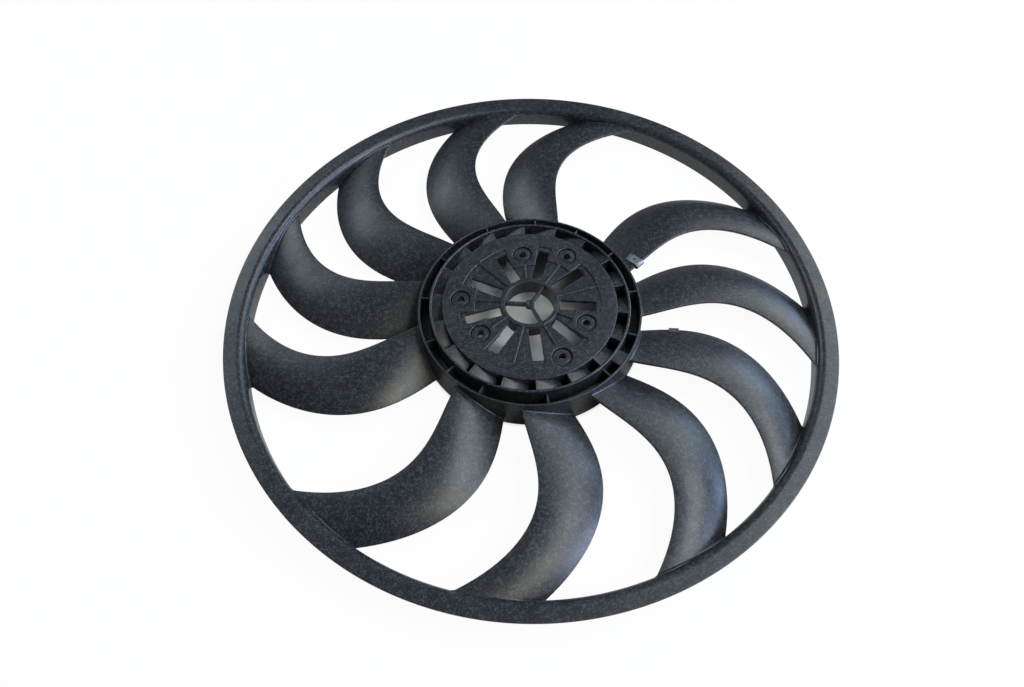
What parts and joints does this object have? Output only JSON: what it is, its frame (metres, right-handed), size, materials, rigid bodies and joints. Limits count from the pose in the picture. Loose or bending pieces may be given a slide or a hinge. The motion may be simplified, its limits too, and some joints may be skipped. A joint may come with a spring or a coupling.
{
  "type": "axial fan impeller",
  "caption": "Axial fan impeller: one-piece moulded wheel with swept blades at uneven pitches between a slotted hub cup and a flanged outer ring.",
  "frame": {"origin": "on the fan axis, in the plane of the hub skirt's bottom edge", "axes": "+Z along the fan axis from the open side of the hub towards its drive face; +X and +Y in the plane of rotation"},
  "size_m": [0.4599, 0.46, 0.032],
  "materials": {
    "moulding": "moulded black glass-filled nylon, fine grain, satin sheen",
    "clip_steel": "dull zinc-plated sheet"
  },
  "bodies": {
    "root": {"impeller": "moulding", "front_balance_clip": "clip_steel", "rear_balance_clip": "clip_steel"}
  },
  "joints": []
}
